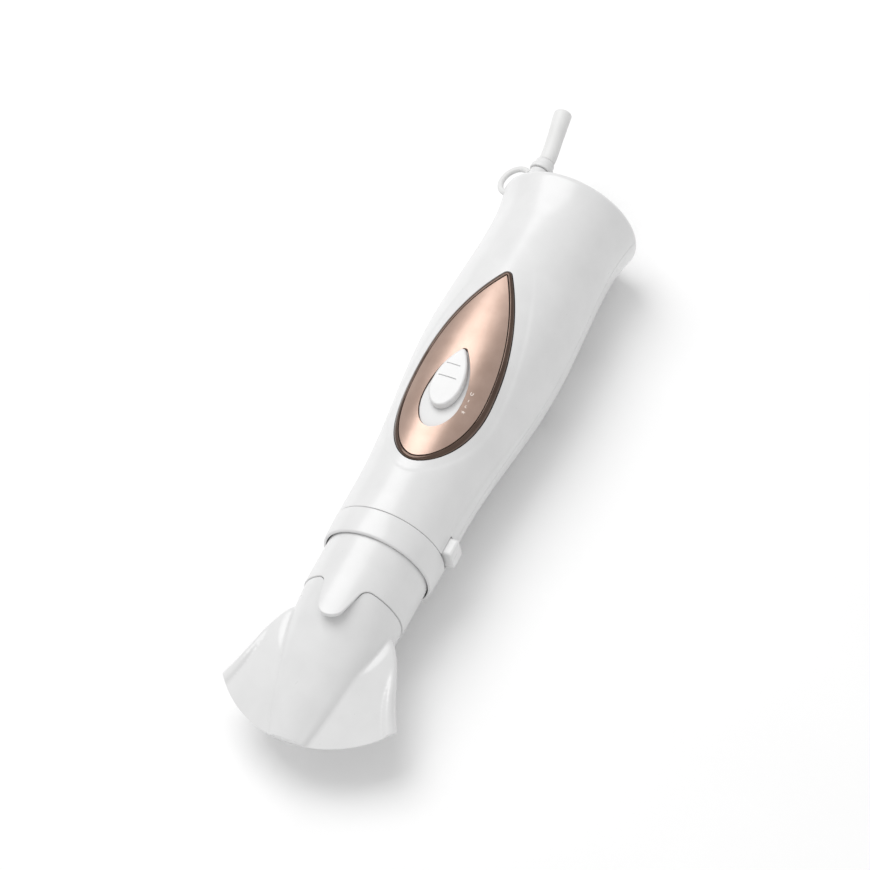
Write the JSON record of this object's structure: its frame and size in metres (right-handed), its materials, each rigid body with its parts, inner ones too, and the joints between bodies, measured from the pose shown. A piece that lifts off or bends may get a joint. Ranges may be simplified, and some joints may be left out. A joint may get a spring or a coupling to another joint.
{
  "type": "hot-air styler",
  "caption": "Corded warm-air hair styling handle with a slide switch, a release button and a wide flat styling nozzle that pulls off the outlet ring.",
  "frame": {"origin": "middle of the flat under the belly of the handle, on which it lies", "axes": "+X the way the air flows, +Z the side with the panel and slide switch, +Y the side with the release button"},
  "size_m": [0.3044, 0.0766, 0.0601],
  "materials": {
    "white_gloss": "high gloss",
    "white_satin": "satin",
    "rose_gold": "fine metallic lacquer",
    "bronze": "dark metallic gloss",
    "white_soft": "soft vinyl",
    "black_plastic": "moulded",
    "steel": "plain",
    "mica": null,
    "heater_wire": "oxidised resistance wire",
    "board_green": "solder resist",
    "yellow": "moulded",
    "lead_brown": "vinyl",
    "lead_blue": "vinyl"
  },
  "bodies": {
    "casing": {"upper_shell": "white_gloss", "lower_shell": "white_gloss", "front_ring": "white_gloss", "rear_cap": "white_satin", "switch_well": "white_satin", "hanging_loop": "white_soft", "switch_panel": "rose_gold", "panel_bezel": "bronze", "motor_can": "steel", "release_spring": "steel", "thermostat": "steel", "thermal_fuse": "steel", "case_screw_1": "steel", "case_screw_2": "steel", "case_screw_3": "steel", "case_screw_4": "steel", "motor_bracket": "black_plastic", "heater_holder": "black_plastic", "outlet_grille": "black_plastic", "switch_body": "black_plastic", "rectifier": "black_plastic", "heater_tube": "mica", "heater_board_upright": "mica", "heater_board_flat": "mica", "heater_coil": "heater_wire", "circuit_board": "board_green", "capacitor": "yellow", "supply_lead_1": "lead_brown", "supply_lead_2": "lead_blue"},
    "switch": {"switch_knob": "white_gloss"},
    "release": {"release_button": "white_gloss"},
    "fan": {"fan_rotor": "black_plastic", "motor_shaft": "steel"},
    "cord_end": {"cord_swivel": "white_satin", "cord_sleeve": "white_soft"},
    "nozzle": {"nozzle_collar": "white_gloss", "nozzle_body": "white_gloss"}
  },
  "joints": [
    {"name": "switch_slide", "type": "slide", "parent": "casing", "child": "switch", "axis": [0.9944, 0, -0.1061], "range_m": [0, 0.0084]},
    {"name": "release_press", "type": "slide", "parent": "casing", "child": "release", "axis": [0, -1, 0], "range_m": [0, 0.0015], "stiffness_N_per_m": 800, "springref_m": -0.002},
    {"name": "fan_turn", "type": "hinge", "parent": "casing", "child": "fan", "pos_m": [-0.06, 0, 0.0288], "axis": [1, 0, 0], "continuous": true},
    {"name": "cord_swivel_turn", "type": "hinge", "parent": "casing", "child": "cord_end", "pos_m": [-0.0852, -0.0164, 0.0424], "axis": [1, 0, 0], "continuous": true},
    {"name": "nozzle_pull", "type": "slide", "parent": "casing", "child": "nozzle", "axis": [1, 0, 0], "range_m": [0, 0.015]}
  ]
}
